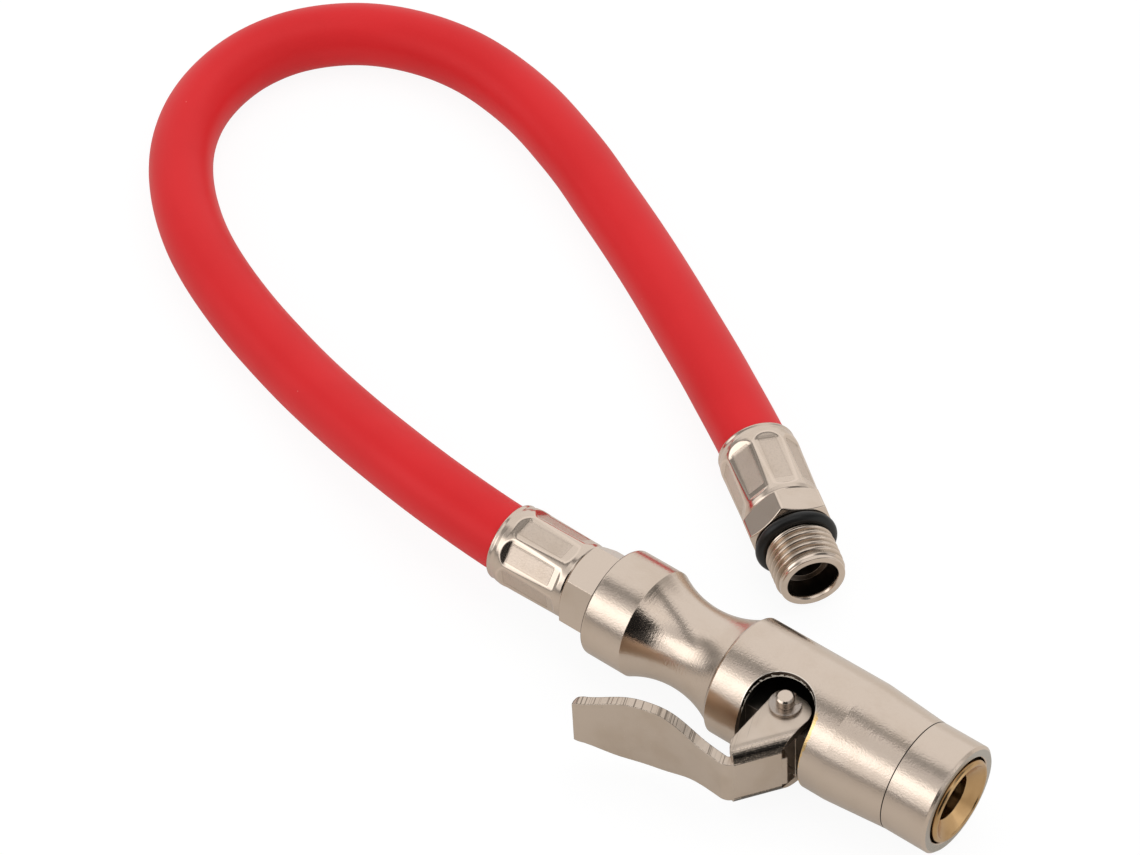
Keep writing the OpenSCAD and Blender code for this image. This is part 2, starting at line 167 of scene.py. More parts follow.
class Bench:
    """A node tree and the one method that adds any node to it."""

    def __init__(self, tree: bpy.types.NodeTree) -> None:
        """Empties the tree and takes it over."""
        tree.nodes.clear()
        self.tree = tree

    def node(
        self,
        kind: str,
        settings: Mapping[str, object] | None = None,
        inputs: Mapping[str | int, Value] | None = None,
    ) -> bpy.types.Node:
        """Adds a node.

        Args:
            kind: the node's type name.
            settings: its properties, set before its sockets.
            inputs: a value or a link for each socket, by name or index.

        Returns:
            The node.
        """
        node = self.tree.nodes.new(kind)
        for key, value in (settings or {}).items():
            setattr(node, key, value)
        for key, value in (inputs or {}).items():
            socket = node.inputs[key]
            if isinstance(value, Term):
                self.tree.links.new(value.socket, socket)
            elif isinstance(value, (int, float)):
                socket.default_value = value
            else:
                socket.default_value = (*value, 1.0) if socket.type == "RGBA" else tuple(value)
        return node

    def term(
        self,
        kind: str,
        settings: Mapping[str, object] | None = None,
        inputs: Mapping[str | int, Value] | None = None,
        output: str | int = 0,
    ) -> Term:
        """Adds a node, as node() does, and wraps one of its outputs for arithmetic."""
        return Term(self, self.node(kind, settings, inputs).outputs[output])

    def place(self) -> Term:
        """Position in the piece's own coordinates."""
        return self.term("ShaderNodeTexCoord", output="Object")

    def dot(self, first: Term, second: Value) -> Term:
        """Dot product of two vectors."""
        return self.term(
            "ShaderNodeVectorMath", {"operation": "DOT_PRODUCT"}, {0: first, 1: second}, "Value"
        )

    def axes(self, vector: Term) -> tuple[Term, Term, Term]:
        """The three parts of a vector."""
        node = self.node("ShaderNodeSeparateXYZ", None, {0: vector})
        return tuple(Term(self, node.outputs[i]) for i in range(3))

    def noise(
        self,
        vector: Term,
        scale: Number | Sequence[float],
        detail: float = 2.0,
        rough: float = 0.5,
    ) -> Term:
        """Cloudy noise from 0 to 1.

        Args:
            vector: where to look.
            scale: about how many features to a metre, for all axes or for each.
            detail: octaves of finer noise.
            rough: weight of the finer octaves.

        Returns:
            The noise.
        """
        if not isinstance(scale, (int, float)):
            stretch = {0: vector, 1: scale}
            vector = self.term("ShaderNodeVectorMath", {"operation": "MULTIPLY"}, stretch)
            scale = 1.0
        return self.term(
            "ShaderNodeTexNoise",
            None,
            {"Vector": vector, "Scale": scale, "Detail": detail, "Roughness": rough},
            "Fac",
        )

    def pits(self, vector: Term, scale: float, radius: float) -> Term:
        """Mask of round specks: scale cells to a metre, each with one, radius its share of it."""
        away = self.term(
            "ShaderNodeTexVoronoi", None, {"Vector": vector, "Scale": scale}, "Distance"
        )
        return away.ease(radius, radius * 0.6)

    def mix(self, first: Value, second: Value, factor: Value) -> Term:
        """Blend of two colours."""
        return self.term(
            "ShaderNodeMix", {"data_type": "RGBA"}, {0: factor, 6: first, 7: second}, 2
        )

    def layers(self, colour: Value, *coats: tuple[Colour, Value]) -> Value:
        """Lays coats over a colour.

        Args:
            colour: the colour below them.
            *coats: the colour and the mask of each, in order.

        Returns:
            The colour with all coats on it.
        """
        for coat, mask in coats:
            colour = self.mix(colour, coat, mask)
        return colour

    def mark(self, mark: Mark) -> Term:
        """A mask that the mesh carries."""
        return self.term("ShaderNodeAttribute", {"attribute_name": mark.value}, None, "Fac")

    def bump(self, relief: Term, normal: Term | None = None) -> Term:
        """A normal disturbed by a relief.

        Args:
            relief: its height, in metres.
            normal: the normal to start from.

        Returns:
            The new normal.
        """
        inputs: dict[str | int, Value] = {"Height": relief, "Distance": 1.0, "Strength": 1.0}
        if normal is not None:
            inputs["Normal"] = normal
        return self.term("ShaderNodeBump", None, inputs)

    def joints(self, place: Term, at: Sequence[float]) -> Term | Number:
        """Mask of the fine dark lines where a turned piece meets its neighbours.

        Args:
            place: position in the piece's coordinates.
            at: X of each joint, in metres.

        Returns:
            1 on a joint line and 0 elsewhere.
        """
        x, _, _ = self.axes(place)
        lines: Term | Number = 0.0
        for spot in at:
            lines = abs(x - spot).ease(0.14e-3, 0.06e-3) + lines
        return lines

    def soft_edges(self, radius: float) -> tuple[Term, Term]:
        """Rounds sharp edges in the shading.

        Args:
            radius: how far the rounding reaches, in metres.

        Returns:
            The rounded normal, and a mask that is 1 on the edges.
        """
        rounded = self.term("ShaderNodeBevel", {"samples": 4}, {"Radius": radius})
        true = self.term("ShaderNodeNewGeometry", output="Normal")
        return rounded, (1 - self.dot(rounded, true)).ease(0.01, 0.16)

    def rays(self) -> tuple[Term, Term]:
        """Masks of the rays that see a thing directly and of those that see it mirrored."""
        outputs = self.node("ShaderNodeLightPath").outputs
        straight, through, glossy = (
            Term(self, outputs[f"Is {kind} Ray"]) for kind in ("Camera", "Transmission", "Glossy")
        )
        return straight.most(through), glossy

    def diffuse(self, colour: Value) -> Term:
        """A matt shader."""
        return self.term("ShaderNodeBsdfDiffuse", None, {"Color": colour})

    def glow(self, colour: Value, strength: float) -> Term:
        """A shader that gives light."""
        return self.term("ShaderNodeEmission", None, {"Color": colour, "Strength": strength})

    def both(self, first: Term, second: Term) -> Term:
        """Two shaders added up."""
        return self.term("ShaderNodeAddShader", None, {0: first, 1: second})

    def either(self, first: Term, second: Term, factor: Term) -> Term:
        """Blend of two shaders."""
        return self.term("ShaderNodeMixShader", None, {0: factor, 1: first, 2: second})

    def principled(
        self,
        colour: Value,
        rough: Value,
        normal: Term,
        metallic: Value = 0.0,
        specular: float = 0.5,
    ) -> None:
        """Ends the tree with the main shader; specular is the sheen of what is not metal."""
        inputs = {
            "Base Color": colour,
            "Metallic": metallic,
            "Roughness": rough,
            "Normal": normal,
            "Specular IOR Level": specular,
        }
        self.surface(self.term("ShaderNodeBsdfPrincipled", None, inputs))

    def surface(self, shader: Term) -> None:
        """Joins a shader to the material's output."""
        self.node("ShaderNodeOutputMaterial", None, {"Surface": shader})


def new_bench(name: str) -> tuple[bpy.types.Material, Bench]:
    """Makes an empty material and its bench."""
    material = bpy.data.materials.new(name)
    material.use_nodes = True
    return material, Bench(material.node_tree)


def tinted(colour: Colour, *by: float) -> Colour:
    """A colour scaled by one factor, or by one for each part, and kept to 1 at most."""
    factors = by * 3 if len(by) == 1 else by
    return tuple(min(1.0, part * factor) for part, factor in zip(colour, factors, strict=True))


# ---------------------------------------------------------------- finishes


@dataclass(frozen=True)
class Finish:
    """What all finishes share: a name, a main colour and a painted node tree.

    Attributes:
        name: the material's name.
        colour: its main colour.
    """

    name: str
    colour: Colour

    def paint(self, b: Bench, place: Term) -> None:
        """Lays the finish's own nodes on a bench, from positions in the piece's coordinates."""
        raise NotImplementedError

    def material(self) -> bpy.types.Material:
        """The finished material."""
        material, b = new_bench(self.name)
        self.paint(b, b.place())
        return material


@dataclass(frozen=True)
class TurnedNickel(Finish):
    """Satin nickel plate over turned metal: rings from the tool, grain, and a painted highlight on
    edges.

    Attributes:
        roughness: middle roughness.
        edge: reach of the rounded edges, in metres.
        joints: X of each dark joint line, in metres.
        bare_front: whether faces that look along +X are bare grey metal.
        slot: X, Y and radius of the slot's round end, in metres, or None.
    """

    name: str = "satin_nickel"
    colour: Colour = PLATE
    roughness: float = 0.17
    edge: float = 0.12e-3
    joints: tuple[float, ...] = ()
    bare_front: bool = False
    slot: tuple[float, float, float] | None = None

    def cut_edge(self, b: Bench, place: Term, colour: Term, ragged: Term) -> tuple[Term, Term]:
        """Round the lever's slot: painted shade on its wall, a painted highlight along its edge and
        on the burr inside, and bare brass worn through in front.

        Args:
            b: the material's bench.
            place: position in the piece's coordinates.
            colour: the colour so far.
            ragged: noise that breaks the lines up.

        Returns:
            The colour with the slot's painted shade, painted highlights and worn brass on it, and
            the mask of the burr.
        """
        x, y, z = b.axes(place)
        middle_x, middle_y, radius = self.slot
        across, back = x - middle_x, y - middle_y
        off = (across * across + back * back) ** 0.5 - radius
        out = (y * y + z * z) ** 0.5
        wall = off.ease(0.1e-3, 0.04e-3)
        burr = wall * (out + ragged * 1.8e-3).ease(11.6e-3, 11.45e-3)
        line = off.ease(0.26e-3, 0.16e-3) * off.ease(0.02e-3, 0.1e-3)
        worn = (off + ragged * 0.8e-3).ease(1.15e-3, 0.95e-3) * off.ease(0.0, 0.08e-3)
        worn = worn * across.ease(2.2e-3, 4.0e-3) * back.ease(3.6e-3, 2.2e-3)
        # the slot's wall is painted near black as painted shade; the burr and the line along the
        # edge are painted near white as painted highlights; the brass in front is real wear
        sheared, burr_highlight, brass = (0.13, 0.105, 0.085), (1.0, 0.92, 0.8), (0.9, 0.6, 0.24)
        colour = b.layers(
            colour,
            (sheared, wall),
            (burr_highlight, burr * 0.9),
            (PAINTED_GLINT, line * 0.6),
            (brass, worn * 0.85),
        )
        return colour, burr

    def paint(self, b: Bench, place: Term) -> None:
        """Lays the nodes."""
        rings = b.noise(place, (5200.0, 130.0, 130.0), 3.0, 0.6)
        streaks = b.noise(place, (420.0, 2600.0, 2600.0))
        grain = b.noise(place, 3000.0, 3.0, 0.65)
        mottle = b.noise(place, 1500.0)
        clouds = b.noise(place, 120.0, 3.0, 0.55)
        rounded, edges = b.soft_edges(self.edge)
        relief = rings * 2.6e-6 + grain * 2.3e-5 + streaks * 4e-6 + mottle * 1.0e-5
        browned = clouds.ease(0.4, 0.75) * 0.5 + (grain - 0.5) * 0.8
        specks = b.pits(place, 520.0, 0.07) * b.noise(place, 90.0).ease(0.55, 0.7)
        colour = b.layers(
            self.colour,
            (tinted(self.colour, 0.9, 0.87, 0.83), browned),
            ((0.12, 0.1, 0.08), specks * 0.6),
            # edges lightened in the colour: a painted highlight
            (tinted(self.colour, 1.18), edges * 0.6),
        )
        rough = self.roughness + (clouds - 0.5) * 0.1 + (grain - 0.5) * 0.12 + (rings - 0.5) * 0.05
        metal: Term | Number = 1.0
        if self.bare_front:
            ahead, _, _ = b.axes(b.term("ShaderNodeNewGeometry", output="True Normal"))
            front = ahead.ease(0.92, 0.97)
            colour = b.mix(colour, (0.5, 0.475, 0.43), front * 0.9)
            rough = rough + front * 0.12
        if self.slot is not None:
            colour, burr = self.cut_edge(b, place, colour, mottle)
            rough = rough + burr * 0.4
            metal = 1 - burr * 0.85
        if self.joints:
            seam = b.joints(place, self.joints)
            colour = b.mix(colour, GRIME, seam)
            rough = rough + seam * 0.4
        b.principled(colour, rough - edges * 0.05, b.bump(relief, rounded), metallic=metal)


@dataclass(frozen=True)
class PressedNickel(Finish):
    """Satin nickel on punched sheet: matt broad faces, a sheared rim with strokes across it.

    Attributes:
        rim_to: the rim counts as sheared up to this X, in metres; the ears are ahead of it.
        fold_from: the folds under the ears start at this X, in metres.
        pad_way: direction along the thumb pad.
    """

    name: str = "pressed_nickel"
    colour: Colour = (0.68, 0.57, 0.475)
    rim_to: float = -0.0305
    fold_from: float = -0.0345
    pad_way: tuple[float, float, float] = (0.93, 0.38, 0.0)

    def paint(self, b: Bench, place: Term) -> None:
        """Lays the nodes."""
        x, _, z = b.axes(place)
        _, _, up = b.axes(b.term("ShaderNodeNewGeometry", output="Normal"))
        tilt = abs(up)
        rim = tilt.ease(0.55, 0.8) * x.ease(self.rim_to, self.rim_to - 0.0008)
        fold = tilt.ease(0.06, 0.2) * tilt.ease(0.97, 0.85)
        along = b.dot(place, self.pad_way)
        run = b.term("ShaderNodeCombineXYZ", None, {0: along * 3000.0, 1: z * 60.0})
        strokes = b.noise(run, 1.0, 2.0, 0.6).ease(0.53, 0.63)
        grain = b.noise(place, 3600.0, 3.0, 0.6)
        clouds = b.noise(place, 160.0, 3.0)
        scratches = b.noise(place, (180.0, 2400.0, 5200.0)).ease(0.66, 0.74)
        peel = b.noise(place, 2400.0, 3.0, 0.7)
        fleck = b.noise(place, 5200.0, 2.0, 0.6)
        ragged = b.noise(place, (2600.0, 900.0, 900.0))
        rounded, edges = b.soft_edges(0.26e-3)
        relief = strokes * rim * -3.0e-5 + grain * 2.6e-6 + scratches * -2.0e-6 + clouds * 2.0e-5
        relief = relief + peel * fold * 6.0e-5
        # a flecked band on the folds under the ears is painted near black: painted shade
        lean = tilt + fleck * 0.4
        folds = x.ease(self.fold_from, self.fold_from + 0.001)
        fold_shade = lean.ease(0.2, 0.27) * lean.ease(1.02, 0.88) * folds
        fold_shade = fold_shade * tilt.ease(0.004, 0.04) * (1 - fleck.ease(0.57, 0.66) * 0.8)
        specks = b.pits(place, 420.0, 0.08) * b.noise(place, 70.0).ease(0.5, 0.7)
        colour = b.layers(
            self.colour,
            (tinted(self.colour, 0.84, 0.8, 0.74), clouds.ease(0.4, 0.7) * 0.4),
            ((0.17, 0.135, 0.105), rim * strokes * 0.75),
            # painted shade on the folds
            ((0.05, 0.043, 0.037), fold_shade * 0.95),
            ((0.2, 0.17, 0.14), fleck.ease(0.55, 0.62) * fold * 0.5),
            # plain edges off the rim lightened in broken streaks: a painted highlight
            (PAINTED_GLINT, edges * (1 - rim) * ragged.ease(0.6, 0.45) * 0.8),
            ((0.07, 0.06, 0.05), edges * rim * ragged.ease(0.36, 0.5) * 0.9),
            ((0.16, 0.13, 0.1), specks * 0.5),
        )
        rough = 0.3 - fold * 0.14 + (grain - 0.5) * 0.12 + rim * 0.08
        rough = rough + scratches * 0.1 - edges * 0.06
        b.principled(colour, rough, b.bump(relief, rounded), metallic=1.0)


@dataclass(frozen=True)
class CrimpedNickel(Finish):
    """Satin nickel on the ferrules and threads: blasted imprints, painted highlight on ridges,
    painted shade in valleys.

    Attributes:
        rounded: whether sharp edges are rounded in the shading.
    """

    name: str = "crimped_nickel"
    colour: Colour = PLATE
    rounded: bool = False

    def paint(self, b: Bench, place: Term) -> None:
        """Lays the nodes."""
        imprint, edge, valley, shade = (
            b.mark(m) for m in (Mark.IMPRINT, Mark.EDGE, Mark.VALLEY, Mark.SHADE)
        )
        grain = b.noise(place, 3800.0, 3.0, 0.6)
        blast = b.noise(place, 3300.0, 2.0, 0.7)
        clouds = b.noise(place, 170.0, 3.0)
        drawn = b.noise(place, (160.0, 3000.0, 3000.0))
        relief = grain * 5e-6 + drawn * 1.6e-6 + blast * imprint * 3.6e-5
        soft: Term | None = None
        if self.rounded:
            soft, edges = b.soft_edges(0.2e-3)
            edge = edge.most(edges)
        colour = b.layers(
            self.colour,
            (tinted(self.colour, 0.8, 0.75, 0.68), clouds.ease(0.45, 0.75) * 0.35),
            # valleys, the thread roots and imprint outlines, darkened brown: painted shade
            ((0.3, 0.235, 0.17), valley * 0.6),
            ((0.3, 0.24, 0.2), imprint * blast.ease(0.48, 0.62) * 0.14),
            # ridges, crests and edges lightened: a painted highlight
            (tinted(self.colour, 1.25), edge * 0.5),
            ((0.022, 0.018, 0.014), shade),
        )
        rough = 0.17 + imprint * 0.22 + (grain - 0.5) * 0.12 - edge * 0.04
        rough = rough + valley * 0.12 + shade * 0.2
        b.principled(colour, rough, b.bump(relief, soft), metallic=1.0)


@dataclass(frozen=True)
class TurnedBrass(Finish):
    """Plain turned brass, matt, with fine rings and a few dark pores."""

    name: str = "turned_brass"
    colour: Colour = (0.62, 0.40, 0.195)

    def paint(self, b: Bench, place: Term) -> None:
        """Lays the nodes."""
        rings = b.noise(place, (6500.0, 70.0, 70.0), 3.0, 0.65)
        grain = b.noise(place, 3800.0, 3.0, 0.65)
        clouds = b.noise(place, 260.0, 3.0)
        pores = b.pits(place, 700.0, 0.1) * b.noise(place, 150.0).ease(0.56, 0.66)
        rounded, edges = b.soft_edges(0.12e-3)
        colour = b.layers(
            self.colour,
            ((0.44, 0.26, 0.11), clouds.ease(0.35, 0.7) * 0.5),
            ((0.09, 0.06, 0.03), pores * 0.85),
            # edges lightened in the colour: a painted highlight
            ((0.95, 0.76, 0.46), edges * 0.85),
        )
        rough = 0.21 + (grain - 0.5) * 0.14 + (rings - 0.5) * 0.1
        normal = b.bump(rings * 3.0e-6 + grain * 3.5e-6, rounded)
        b.principled(colour, rough, normal, metallic=1.0)


@dataclass(frozen=True)
class PlainSteel(Finish):
    """Grey steel of the small working pieces, lightly oiled."""

    name: str = "plain_steel"
    colour: Colour = (0.42, 0.39, 0.355)
    roughness: float = 0.32

    def paint(self, b: Bench, place: Term) -> None:
        """Lays the nodes."""
        grain = b.noise(place, 3300.0, 3.0, 0.6)
        lines = b.noise(place, (300.0, 300.0, 5200.0))
        clouds = b.noise(place, 300.0)
        rounded, edges = b.soft_edges(0.1e-3)
        colour = b.layers(
            self.colour,
            (tinted(self.colour, 0.62), clouds.ease(0.4, 0.7)),
            # edges lightened in the colour: a painted highlight
            (tinted(self.colour, 1.5), edges * 0.6),
        )
        rough = self.roughness + (grain - 0.5) * 0.14 + (clouds - 0.5) * 0.1
        normal = b.bump(grain * 3.0e-6 + lines * 1.2e-6, rounded)
        b.principled(colour, rough, normal, metallic=1.0)


@dataclass(frozen=True)
class HoseRubber(Finish):
    """Smooth red rubber with a soft sheen, faint die lines along it and a little dust."""

    name: str = "hose_rubber"
    colour: Colour = (0.75, 0.014, 0.018)

    def paint(self, b: Bench, place: Term) -> None:
        """Lays the nodes."""
        run = b.term("ShaderNodeUVMap", {"uv_map": "hose"})
        lines = b.noise(run, (3.0, 70.0, 1.0), 3.0)
        skin = b.noise(place, 2600.0, 3.0, 0.6)
        clouds = b.noise(place, 45.0, 3.0)
        dust = b.pits(place, 240.0, 0.045) * b.noise(place, 60.0).ease(0.52, 0.66)
        colour = b.layers(
            self.colour,
            ((0.68, 0.01, 0.013), clouds.ease(0.35, 0.7) * 0.6),
            ((0.8, 0.025, 0.027), skin.ease(0.5, 0.8) * 0.3),
            ((0.92, 0.42, 0.38), dust * 0.5),
        )
        rough = 0.44 + (clouds - 0.5) * 0.12 + (skin - 0.5) * 0.1 + dust * 0.2
        normal = b.bump(lines * 6.0e-6 + skin * 3.0e-6 + clouds * 4.0e-5)
        b.principled(colour, rough, normal, specular=0.32)


@dataclass(frozen=True)
class SealRubber(Finish):
    """Black moulded rubber of the O-rings and the valve's seal."""

    name: str = "seal_rubber"
    colour: Colour = (0.009, 0.0085, 0.008)

    def paint(self, b: Bench, place: Term) -> None:
        """Lays the nodes."""
        skin = b.noise(place, 3000.0, 3.0, 0.6)
        clouds = b.noise(place, 400.0)
        dust = b.noise(place, 1200.0, 4.0, 0.7).ease(0.6, 0.78)
        colour = b.mix(self.colour, (0.03, 0.028, 0.025), dust * 0.5)
        rough = 0.36 + (skin - 0.5) * 0.15 + dust * 0.15
        b.principled(colour, rough, b.bump(skin * 4.0e-6 + clouds * 8.0e-6), specular=0.35)


# ---------------------------------------------------------------- mesh tools


def softmin(first: np.ndarray, second: float, width: float) -> tuple[np.ndarray, np.ndarray]:
    """Smaller of two surfaces, with the crease between them rounded.

    Args:
        first: radii of one surface.
        second: radius of the other.
        width: size of the rounding.

    Returns:
        The radii, and a mask that is 1 along the crease.
    """
    share = np.clip(0.5 + 0.5 * (second - first) / width, 0.0, 1.0)
    crease = share * (1.0 - share)
    return second + (first - second) * share - width * crease, 4.0 * crease


def ramp(x: np.ndarray | float, low: float, high: float) -> np.ndarray | float:
    """Smooth step of x from 0 at low to 1 at high, whichever is larger."""
    t = np.clip((x - low) / (high - low), 0.0, 1.0)
    return t * t * (3.0 - 2.0 * t)


def filleted(points: Sequence[tuple[float, ...]], steps: int = 4) -> list[tuple[float, float]]:
    """Rounds the corners of a turned profile.

    Args:
        points: (x, radius, corner radius) in order; a missing corner radius is 0.
        steps: segments to a rounded corner.

    Returns:
        (x, radius) pairs, with one close to each end of a rounding, which keeps long faces flat.
    """
    out: list[tuple[float, float]] = []
    last = len(points) - 1
    for i, point in enumerate(points):
        here = np.array(point[:2], float)
        size = point[2] if len(point) > 2 else 0.0
        if i in (0, last) or size <= 0:
            out.append((here[0], here[1]))
            continue
        before, after = (np.array(points[j][:2], float) - here for j in (i - 1, i + 1))
        reach_a, reach_b = np.linalg.norm(before), np.linalg.norm(after)
        a, b = before / reach_a, after / reach_b
        half = math.acos(float(np.clip(a @ b, -1.0, 1.0))) / 2
        back = min(size / math.tan(half), 0.45 * reach_a, 0.45 * reach_b)
        extra = min(0.05, 0.04 * min(reach_a, reach_b))
        out.append(tuple(here + a * (back + extra)))
        for k in range(steps + 1):
            t = k / steps
            spot = here + a * back * (1 - t) ** 2 + b * back * t**2
            out.append(tuple(spot))
        out.append(tuple(here + b * (back + extra)))
    return out


class Rings:
    """Rings of points about a piece's own X axis, skinned into one closed mesh."""

    def __init__(self, columns: int) -> None:
        """Starts with no rings, each of which will have so many columns of points."""
        self.angle = np.linspace(0.0, 2.0 * math.pi, columns, endpoint=False)
        self.points: list[np.ndarray] = []
        self.marks: dict[Mark, list[np.ndarray]] = {m: [] for m in Mark}

    def add(self, x: float, radius: np.ndarray | float, **marks: np.ndarray | float) -> None:
        """Adds one ring.

        Args:
            x: place along the axis, in millimetres.
            radius: radius at each column, in millimetres.
            **marks: masks at each column, by the mark's name in lower case.
        """
        across = np.zeros_like(self.angle) + radius
        along = np.zeros_like(self.angle) + x
        ring = np.stack([along, across * np.cos(self.angle), across * np.sin(self.angle)], 1)
        self.points.append(ring * MM)
        for mark in Mark:
            value = marks.get(mark.value, 0.0)
            self.marks[mark].append(np.zeros_like(self.angle) + value)

    def trace(self, points: Sequence[tuple[float, ...]]) -> None:
        """Adds the rings of a turned profile of (x, radius, corner radius) points."""
        for x, radius in filleted(points):
            self.add(x, radius)

    def build(self, name: str, seat: Matrix) -> bpy.types.Object:
        """Skins the rings, the last one back to the first.

        Args:
            name: the piece's name.
            seat: where the piece's own origin and axes lie.

        Returns:
            The piece.
        """
        faces = wrapped(len(self.points), len(self.angle))
        piece = mesh_piece(name, np.concatenate(self.points), faces.tolist())
        for mark, values in self.marks.items():
            if any(v.any() for v in values):
                layer = piece.data.attributes.new(mark.value, "FLOAT", "POINT")
                layer.data.foreach_set("value", np.concatenate(values).astype(np.float32))
        piece.matrix_world = seat
        return piece


def wrapped(rows: int, columns: int) -> np.ndarray:
    """Faces of rings of points, each ring closed and the last one joined to the first."""
    grid = np.arange(rows * columns).reshape(rows, columns)
    down, right = np.roll(grid, -1, 0), np.roll(grid, -1, 1)
    return np.stack([grid, down, np.roll(down, -1, 1), right], -1).reshape(-1, 4)


def mesh_piece(name: str, points: np.ndarray, faces: list[Sequence[int]]) -> bpy.types.Object:
    """Makes a smooth mesh object with its faces turned outwards.

    Args:
        name: the object's name.
        points: its points, in metres.
        faces: the indices of each face's points.

    Returns:
        The object, linked to the scene.
    """
    data = bpy.data.meshes.new(name)
    data.from_pydata(points.tolist(), [], faces)
    work = bmesh.new()
    work.from_mesh(data)
    bmesh.ops.recalc_face_normals(work, faces=work.faces)
    work.to_mesh(data)
    work.free()
    data.shade_smooth()
    piece = bpy.data.objects.new(name, data)
    bpy.context.scene.collection.objects.link(piece)
    return piece


def units(vectors: np.ndarray) -> np.ndarray:
    """Vectors brought to unit length."""
    return vectors / np.linalg.norm(vectors, axis=1)[:, None]


def tube_rings(line: np.ndarray, radius: float, sides: int, first: np.ndarray) -> np.ndarray:
    """Rings of a round tube swept along a line.

    Args:
        line: the middle line's points.
        radius: the tube's radius.
        sides: points to a ring.
        first: direction of each ring's first point, square to the line.

    Returns:
        The points, ring by ring.
    """
    second = np.cross(units(np.gradient(line, axis=0)), first)
    angle = np.linspace(0.0, 2.0 * math.pi, sides, endpoint=False)[None, :, None]
    across, up = np.cos(angle) * first[:, None], np.sin(angle) * second[:, None]
    return line[:, None] + radius * (across + up)


def seat_at(x: float, y: float = 0.0, z: float = 0.0, yaw: float = 0.0) -> Matrix:
    """Placement of a piece's own frame, from millimetres and degrees."""
    return Matrix.Translation(Vector((x, y, z)) * MM) @ Matrix.Rotation(math.radians(yaw), 4, "Z")


def dress(piece: bpy.types.Object, finish: Finish) -> None:
    """Gives a piece one material all over."""
    piece.data.materials.clear()
    piece.data.materials.append(finish.material())


def report(piece: bpy.types.Object) -> None:
    """Logs a piece that is ready."""
    log.info("%s: %d faces", piece.name, len(piece.data.polygons))


# ---------------------------------------------------------------- sub-assemblies


